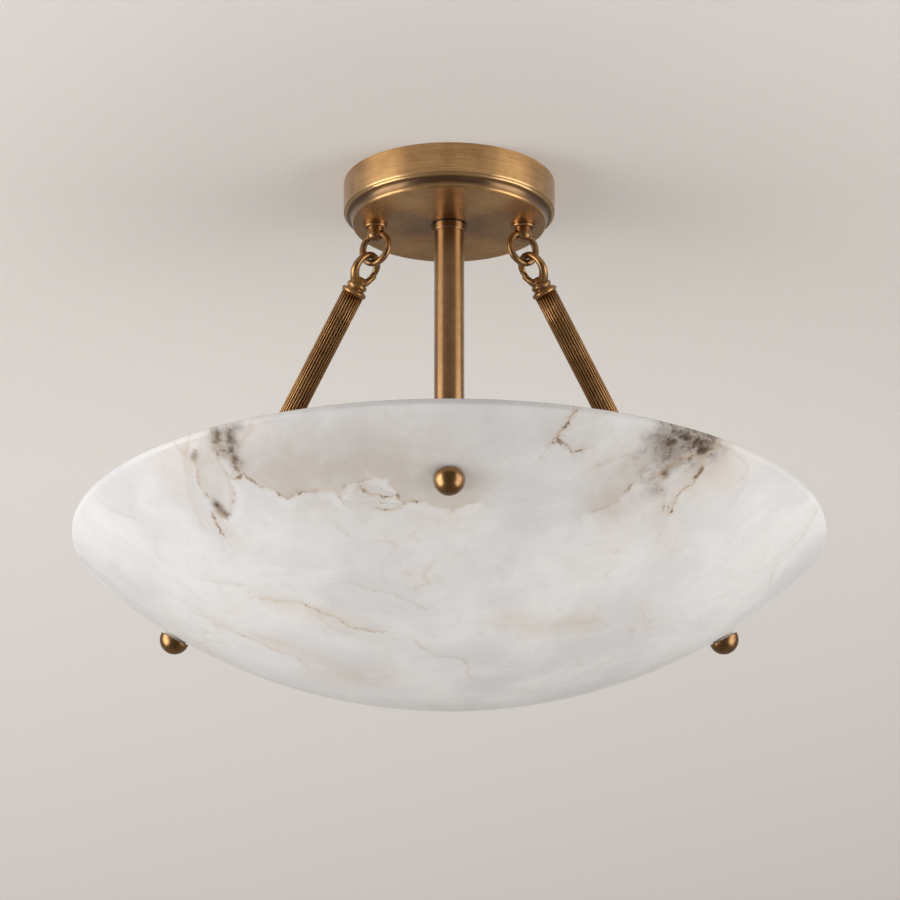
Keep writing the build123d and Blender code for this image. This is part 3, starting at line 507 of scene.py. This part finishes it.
# A seam wanders up to 3 mm with the fine noise and 2.5 mm with the coarse one
ragged = reach
for wander, swing in ((fine, 6.0), (coarse, 5.0)):
    swung = {0: wander, 1: swing, 2: ragged}
    ragged = add(tree, "ShaderNodeMath", swung, operation="MULTIPLY_ADD").outputs[0]
    ragged = add(tree, "ShaderNodeMath", {0: ragged, 1: swing / 2}, operation="SUBTRACT").outputs[0]

# How far each value is from its middle: lines are drawn where it is near
from_middle = []
for value, middle in ((veins, 0.5), (crystals, 0.47), (ragged, 0.0), (reach, 0.0)):
    apart = add(tree, "ShaderNodeMath", {0: value, 1: middle}, operation="SUBTRACT").outputs[0]
    from_middle.append(add(tree, "ShaderNodeMath", {0: apart}, operation="ABSOLUTE").outputs[0])
vein, wall, away, seam_away = from_middle

# A veil ends sharply at its line, except beyond the line's ends and at faint seams
cut = masked(tree, [(ragged, -0.4, 0.9)])
faint = add(tree, "ShaderNodeMath", {0: 1.0, 1: edge_here}, operation="SUBTRACT").outputs[0]
for other in (masked(tree, [(seam_away, 4.0, 9.0)]), faint):
    cut = add(tree, "ShaderNodeMath", {0: cut, 1: other}, operation="MAXIMUM").outputs[0]

stone = laid_over(
    tree,
    linear("#e3e3e4"),
    [
        # The white stone: clouds, cream, wisps, grey threads and faint tan veins
        ("#f0f0f0", 1.0, [(clouds, 0.35, 0.62)]),
        ("#e8dfd4", 0.5, [(warmth, 0.5, 0.75)]),
        ("#f6f5f4", 0.4, [(wisps, 0.5, 0.68)]),
        ("#d3d0cc", 0.25, [(threads, 0.48, 0.72)]),
        ("#d5c4b0", 0.4, [(vein, 0.0, 0.016, 1.0, 0.0), (warmth, 0.5, 0.62)]),
        # Deep warm and grey hazes, then the veil on one side of each seam
        ("#dccbb6", 0.8, [warm, (coarse, 0.3, 0.7, 0.45, 1.0)]),
        ("#c2b8ad", 0.9, [grey, (coarse, 0.3, 0.7, 0.45, 1.0)]),
        ("#c6bbae", 0.6, [veil_here, cut, (wisps, 0.35, 0.65, 1.0, 0.6)]),
        # Smoky mineral, darkest at its heart, with light crystal walls through it
        ("#6b5642", 0.97, [patch, (coarse, 0.32, 0.62, 0.6, 1.0)]),
        ("#3c2815", 0.9, [patch, patch, (crystals, 0.48, 0.64)]),
        ("#d9cfc2", 0.55, [(wall, 0.0, 0.02, 1.0, 0.0), (patch, 0.3, 0.8)]),
        # The seam itself: a pale tan border, a thin tan line and brown flecks
        ("#d2bb9f", 0.4, [(away, 0.2, 3.0, 1.0, 0.0), line_here]),
        ("#a88a68", 0.6, [(away, 0.1, 0.8, 1.0, 0.0), line_here, (coarse, 0.38, 0.6, 0.15, 1.0)]),
        ("#7a5c3e", 1.0, [(away, 0.5, 1.8, 1.0, 0.0), (crystals, 0.54, 0.63), line_here, line_here]),
    ],
)
tree.links.new(stone, shader.inputs["Base Color"])
tree.links.new(masked(tree, [(clouds, 0.3, 0.7, 0.32, 0.42)]), shader.inputs["Roughness"])
shader.inputs["Subsurface Weight"].default_value = 0.25
shader.inputs["Subsurface Radius"].default_value = (1.0, 0.9, 0.8)
shader.inputs["Subsurface Scale"].default_value = 0.006
shader.inputs["Specular IOR Level"].default_value = 0.35
soft = add(tree, "ShaderNodeBump", {"Height": grind, "Strength": 0.08, "Distance": 0.0001})
tree.links.new(soft.outputs["Normal"], shader.inputs["Normal"])

bowl.data.materials.append(alabaster)
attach(bowl, "fixture")
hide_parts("bowl")


# The brass. The canopy and its collar are spun and brushed round their axis, the
# stem is drawn tube brushed the same way, and the rings, hangers, hooks and
# finials are cast and tumbled. All of it has a brown antique finish.


def dress(made, *names):
    """Gives CAD nodes a material in all their slots."""
    for name in names:
        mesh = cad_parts[name].data
        mesh.materials.clear()
        mesh.materials.append(made)


def two_toned(name, light, dark, rough, spread, metallic=1.0):
    """A material in two tones, in soft patches 14 mm across, with a roughness and its spread."""
    made, tree, shader = new_material(name)
    place = add(tree, "ShaderNodeTexCoord").outputs["Object"]
    mm = add(tree, "ShaderNodeVectorMath", {0: place, "Scale": 1000.0}, operation="SCALE").outputs[0]
    spots = {"Vector": mm, "Scale": 1 / 14, "Detail": 4.0, "Roughness": 0.6}
    patina = add(tree, "ShaderNodeTexNoise", spots).outputs["Fac"]
    tone = laid_over(tree, linear(light), [(dark, 1.0, [(patina, 0.35, 0.7)])])
    tree.links.new(tone, shader.inputs["Base Color"])
    shader.inputs["Metallic"].default_value = metallic
    polish = masked(tree, [(patina, 0.3, 0.7, rough - spread, rough + spread)])
    tree.links.new(polish, shader.inputs["Roughness"])
    return made, tree, shader, mm, tone


def turned_grain(tree, mm, flat, radius, step):
    """Fine rings round the Z axis: noise over (x/r, y/r, z) and r, long only round the axis."""
    heading = add(tree, "ShaderNodeVectorMath", {0: flat}, operation="NORMALIZE").outputs[0]
    heading = add(tree, "ShaderNodeVectorMath", {0: heading, "Scale": 3.0}, operation="SCALE").outputs[0]
    height = add(tree, "ShaderNodeVectorMath", {0: mm, 1: (0, 0, 1 / step)}, operation="MULTIPLY").outputs[0]
    spot = add(tree, "ShaderNodeVectorMath", {0: heading, 1: height}, operation="ADD").outputs[0]
    out = add(tree, "ShaderNodeMath", {0: radius, 1: step}, operation="DIVIDE").outputs[0]
    rings = add(
        tree,
        "ShaderNodeTexNoise",
        {"Vector": spot, "W": out, "Scale": 1.0, "Detail": 3.0, "Roughness": 0.7},
        noise_dimensions="4D",
    )
    return rings.outputs["Fac"]


# Turned brass: brushed round the axis, so its highlights are tall bands, under a
# clear lacquer. Real brush lines are 0.1 mm apart; these are coarser, to show.
turned_brass, tree, shader, mm, tone = two_toned("turned_brass", "#d6a96e", "#c0935b", 0.37, 0.03)
flat = add(tree, "ShaderNodeVectorMath", {0: mm, 1: (1, 1, 0)}, operation="MULTIPLY").outputs[0]
radius = add(tree, "ShaderNodeVectorMath", {0: flat}, operation="LENGTH").outputs["Value"]
height = add(tree, "ShaderNodeSeparateXYZ", {0: mm}).outputs["Z"]
grain = turned_grain(tree, mm, flat, radius, 1.3)
underside = (height, -26.9, -27.2)
tone = laid_over(
    tree,
    tone,
    [
        ("#8f673c", 0.45, [(grain, 0.35, 0.7)]),
        # Painted shade: the cove under the canopy's bead is darkened brown in its colour, for the shade and
        # dark reflection it holds
        ("#5a3d22", 0.75, [(radius, 59.4, 60.4), (height, -20.2, -21.2), (height, -26.2, -25.0)]),
        # Painted shade: the face is darkened round the collar, for its dark reflection there, and a dark
        # line of painted shade fills the joint above it
        ("#7a5128", 0.55, [underside, (radius, 12.0, 42.0, 1.0, 0.0)]),
        ("#2b1a0c", 0.9, [underside, (radius, 11.7, 11.0), (height, -28.3, -27.6)]),
        # Painted highlight: the canopy's bead is made light in its colour, for the line of light along it
        ("#e9c48a", 0.5, [(height, -18.4, -18.9), (height, -21.3, -20.8), (radius, 61.5, 62.5)]),
    ],
)
tree.links.new(tone, shader.inputs["Base Color"])
brush = add(tree, "ShaderNodeBump", {"Height": grain, "Strength": 0.2, "Distance": 0.00006})
tree.links.new(brush.outputs["Normal"], shader.inputs["Normal"])
about = add(tree, "ShaderNodeTangent", direction_type="RADIAL", axis="Z")
tree.links.new(about.outputs[0], shader.inputs["Tangent"])
shader.inputs["Anisotropic"].default_value = 0.85
shader.inputs["Anisotropic Rotation"].default_value = 0.25
shader.inputs["Coat Weight"].default_value = 0.8
shader.inputs["Coat Roughness"].default_value = 0.36
dress(turned_brass, "canopy", "canopy_collar", "stem_tube")
dress(turned_brass, "cluster_cover", "cluster_drum", "cluster_cap_nut")

# Cast brass: tumbled smooth, browner than the turned pieces
cast_brass, tree, shader, mm, tone = two_toned("cast_brass", "#b2864f", "#8a6336", 0.32, 0.03)
spots = {"Vector": mm, "Scale": 1 / 2.5, "Detail": 3.0, "Roughness": 0.6}
wear = add(tree, "ShaderNodeTexNoise", spots).outputs["Fac"]
tone = laid_over(tree, tone, [("#523619", 0.5, [(wear, 0.45, 0.75)])])
tree.links.new(tone, shader.inputs["Base Color"])
skin_of_cast = add(tree, "ShaderNodeBump", {"Height": wear, "Strength": 0.1, "Distance": 0.00006})
tree.links.new(skin_of_cast.outputs["Normal"], shader.inputs["Normal"])
shader.inputs["Coat Weight"].default_value = 0.7
shader.inputs["Coat Roughness"].default_value = 0.32
for side in ("left", "right"):
    dress(cast_brass, *[f"{side}_{piece}" for piece in ("hanger", "ring", "ferrule", "finial")])
dress(cast_brass, "front_finial", "spider")


# The hook at the head of each stay, cast in one with its turned collar and chased by
# hand. It is closed round the ring: its tip lies against the stub of the lower limb.


def stay_place(hand):
    """The top of a stay's hook in metres, the way down the stay and the way across it.

    The hand is -1 for the left stay and 1 for the right one. The way down and the way
    across have length 1 and stand square to each other.
    """
    top = np.array((hand * 0.047256, 0.001181, -0.047268))
    along = np.array((hand * 0.45875968, 0.32719507, -0.82612526))
    across = np.array((-hand * 0.58066175, 0.81414491, 0.0))
    return top, along, across


def bent_wire(path, radii, frame_of):
    """A round wire along a flat path of (side, up) points in mm, with a pole at each end.

    Each ring is p + r (cos(a) third + sin(a) (tangent x third)), where third stands
    square to the path's plane.
    """
    centre, along, across, third = frame_of
    path = centre + (path[:, :1] * across - path[:, 1:] * along) / 1000
    tangent = np.gradient(path, axis=0)
    tangent /= np.linalg.norm(tangent, axis=1)[:, None]
    angle = np.linspace(0, 2 * np.pi, 28, endpoint=False)[:, None]
    rings = [
        p + r / 1000 * (np.cos(angle) * third + np.sin(angle) * np.cross(t, third))
        for p, r, t in zip(path, radii, tangent)
    ]
    return [path[:1]] + rings + [path[-1:]]


def curve(start, corner, end, steps):
    """Points of (1-t)^2 start + 2 t (1-t) corner + t^2 end, without the end."""
    t = np.linspace(0, 1, steps, endpoint=False)[:, None]
    return (1 - t) ** 2 * np.array(start) + 2 * t * (1 - t) * np.array(corner) + t**2 * np.array(end)


collar_end = 27.1


def hook_with_collar(top, along, across):
    """The hook's loop, its lower limb with a cut stub, and the collar below, in mm along the stay."""
    loop_radius = 9.2
    third = np.cross(along, across)
    frame_of = (top + along * loop_radius / 1000, along, across, third)

    # The loop: up from the collar, over the ring and down to a slim tip
    turn = np.radians(np.linspace(-100, 114, 54))
    bow = loop_radius - 1.9 * np.clip((turn - np.radians(80)) / np.radians(34), 0, 1) ** 2
    loop = np.stack([bow * np.sin(turn), bow * np.cos(turn)], 1)
    path = np.concatenate([curve((-2.8, -9.8), (-8.4, -5.5), loop[0], 12), loop])
    run = np.linspace(0, 1, len(path))
    radii = 2.15 + 0.95 * np.clip(1 - run / 0.42, 0, 1) ** 1.5 - 0.75 * np.clip((run - 0.8) / 0.2, 0, 1)
    radii[-3:] *= (0.97, 0.85, 0.5)
    rings = bent_wire(path, radii, frame_of)

    # The lower limb leaves the collar on the other side and ends in a cut stub
    way = np.linspace(0, 1, 10)[:, None]
    bend = (7.5, -5.3)
    limb = np.concatenate([curve((2.2, -9.8), (6.0, -8.4), bend, 12), bend + way * (2.7, 3.9)])
    radii = np.linspace(2.5, 1.75, len(limb))
    radii[-1] = 1.6
    rings += bent_wire(limb, radii, frame_of)

    # The collar: a flare, a thin bead, a broad rounded band and a large bead
    collar = [(14.9, 0), (14.9, 3.6), (16.0, 4.3), (16.7, 5.1)]
    beads = ((17.0, 18.6, 5.2, 6.1), (19.2, 22.8, 5.4, 6.5), (23.5, collar_end, 6.6, 8.2))
    for low, high, root, crest in beads:
        t = np.linspace(0, 1, 13)
        collar += list(zip(low + (high - low) * t, root + (crest - root) * np.sin(np.pi * t) ** 0.6))
    collar += [(collar_end, 0)]
    angle = np.linspace(0, 2 * np.pi, 56, endpoint=False)[:, None]
    way = np.cos(angle) * across + np.sin(angle) * third
    for far, radius in collar:
        ring = top + along * far / 1000 + way * radius / 1000
        rings.append(ring if radius else ring[:1])
    return rings


for side, hand in (("left", -1), ("right", 1)):
    hook = skin(f"{side}_closed_hook", hook_with_collar(*stay_place(hand)))
    hook.data.materials.append(cast_brass)
    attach(hook, "fixture")
    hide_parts(f"{side}_hook_end")


# The fluted stays: drawn brass tube with 24 rounded reeds. Their grooves are painted
# near black, brown finish and painted shade together, and the crests keep the bright tone.


def fluted_stay(top, along, across, start, end):
    """Rings of a reeded tube with its bore, from start to end in mm along its axis.

    A reed's height is r = 7.0 - 0.35 (2 t)^2 - 0.55 exp(-((0.5 - |t|) / 0.14)^2) mm,
    with t from -0.5 to 0.5 across it. The bore is a 5.0 mm circle.
    """
    reeds, points_a_reed, bore_radius = 24, 12, 0.005
    third = np.cross(along, across)
    angle = np.linspace(0, 2 * np.pi, reeds * points_a_reed, endpoint=False)
    t = (angle * reeds / (2 * np.pi)) % 1 - 0.5
    reed = 7.0 - 0.35 * (2 * t) ** 2 - 0.55 * np.exp(-(((0.5 - abs(t)) / 0.14) ** 2))
    groove = np.exp(-(((0.5 - abs(t)) / 0.2) ** 2))
    way = np.cos(angle)[:, None] * across + np.sin(angle)[:, None] * third
    steps = np.linspace(start, end, 13) / 1000
    outer = [top + along * step + way * reed[:, None] / 1000 for step in steps]
    inner = [top + along * step + way * bore_radius for step in steps[::-1]]
    return outer + inner, np.concatenate([np.tile(groove, len(steps)), np.ones(len(steps) * len(angle))])


reeded_brass, tree, shader, mm, tone = two_toned("reeded_brass", "#c8955a", "#a67543", 0.28, 0.03)
groove = add(tree, "ShaderNodeAttribute", attribute_name="groove").outputs["Fac"]
spots = {"Vector": mm, "Scale": 1 / 9, "Detail": 3.0, "Roughness": 0.6}
rubbed = add(tree, "ShaderNodeTexNoise", spots).outputs["Fac"]
# Painted shade with the brown finish: near black in the grooves, then soft brown patches at random
browns = [("#1c0e04", 1.0, [(groove, 0.05, 0.6)]), ("#5d3f22", 0.18, [(rubbed, 0.45, 0.75)])]
tree.links.new(laid_over(tree, tone, browns), shader.inputs["Base Color"])
shader.inputs["Coat Weight"].default_value = 0.6
shader.inputs["Coat Roughness"].default_value = 0.25

tube_end = 239.95
for side, hand in (("left", -1), ("right", 1)):
    rings, groove_here = fluted_stay(*stay_place(hand), collar_end, tube_end)
    stay = skin(f"{side}_reeded_stay", rings, closed=True)
    layer = stay.data.attributes.new("groove", "FLOAT", "POINT")
    layer.data.foreach_set("value", groove_here)
    stay.data.materials.append(reeded_brass)
    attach(stay, "fixture")
    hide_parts(f"{side}_fluted_tube")


# Fittings out of sight: zinc plated steel that ties the pieces together, a green
# ground screw, rubber pads inside the bowl and pale felt washers outside it.

# Bright zinc: grey and a little cloudy
zinc = two_toned("zinc_plate", "#b9bcc0", "#a3a7ad", 0.34, 0.05)[0]
dress(zinc, "crossbar", "top_lock_washer", "top_locknut", "top_nipple", "stem_top_bush", "stem_bottom_bush")
dress(zinc, "hanger_washers", "hanger_nuts", "left_tie_rod", "right_tie_rod", "front_seat_nut")
dress(zinc, "cluster_nipple", "cluster_lock_washer", "cluster_locknut")
dress(zinc, "socket_nipples", "socket_nuts", "socket_spacers")

# Dyed steel with some metal in its shine, matt moulded rubber and matt pressed felt
green = two_toned("green_dyed_steel", "#2f7a45", "#25633a", 0.4, 0.05, 0.6)[0]
rubber = two_toned("black_rubber", "#262524", "#1e1d1c", 0.75, 0.05, 0.0)[0]
felt = two_toned("pale_felt", "#cdc6bb", "#bfb8ad", 0.9, 0.04, 0.0)[0]
dress(green, "ground_screw")
dress(rubber, "inner_pads")
dress(felt, "outer_washers")


# The lamps inside the bowl: glazed porcelain holders, brass contacts and screw
# shells, and round bulbs of frosted glass on nickel plated caps.

# Glossy white glaze, bright drawn brass and a soft nickel shine
porcelain = two_toned("porcelain_glaze", "#eeece4", "#e6e3da", 0.14, 0.03, 0.0)[0]
bright_brass = two_toned("bright_brass", "#d6b067", "#c79f57", 0.25, 0.04)[0]
nickel = two_toned("nickel_plate", "#c9c6bd", "#b9b6ac", 0.22, 0.04)[0]

# Etched glass, milky: light scatters a little inside it
frosted, _, shader, *_ = two_toned("frosted_glass", "#f4f3ef", "#eceae4", 0.45, 0.05, 0.0)
shader.inputs["Subsurface Weight"].default_value = 0.3
shader.inputs["Subsurface Scale"].default_value = 0.004

dress(bright_brass, "centre_contacts")
for lamp in ("front_right", "back", "front_left"):
    dress(porcelain, f"{lamp}_lampholder")
    dress(bright_brass, f"{lamp}_screw_shell")
    dress(nickel, f"{lamp}_bulb_base")
    dress(frosted, f"{lamp}_bulb_glass")
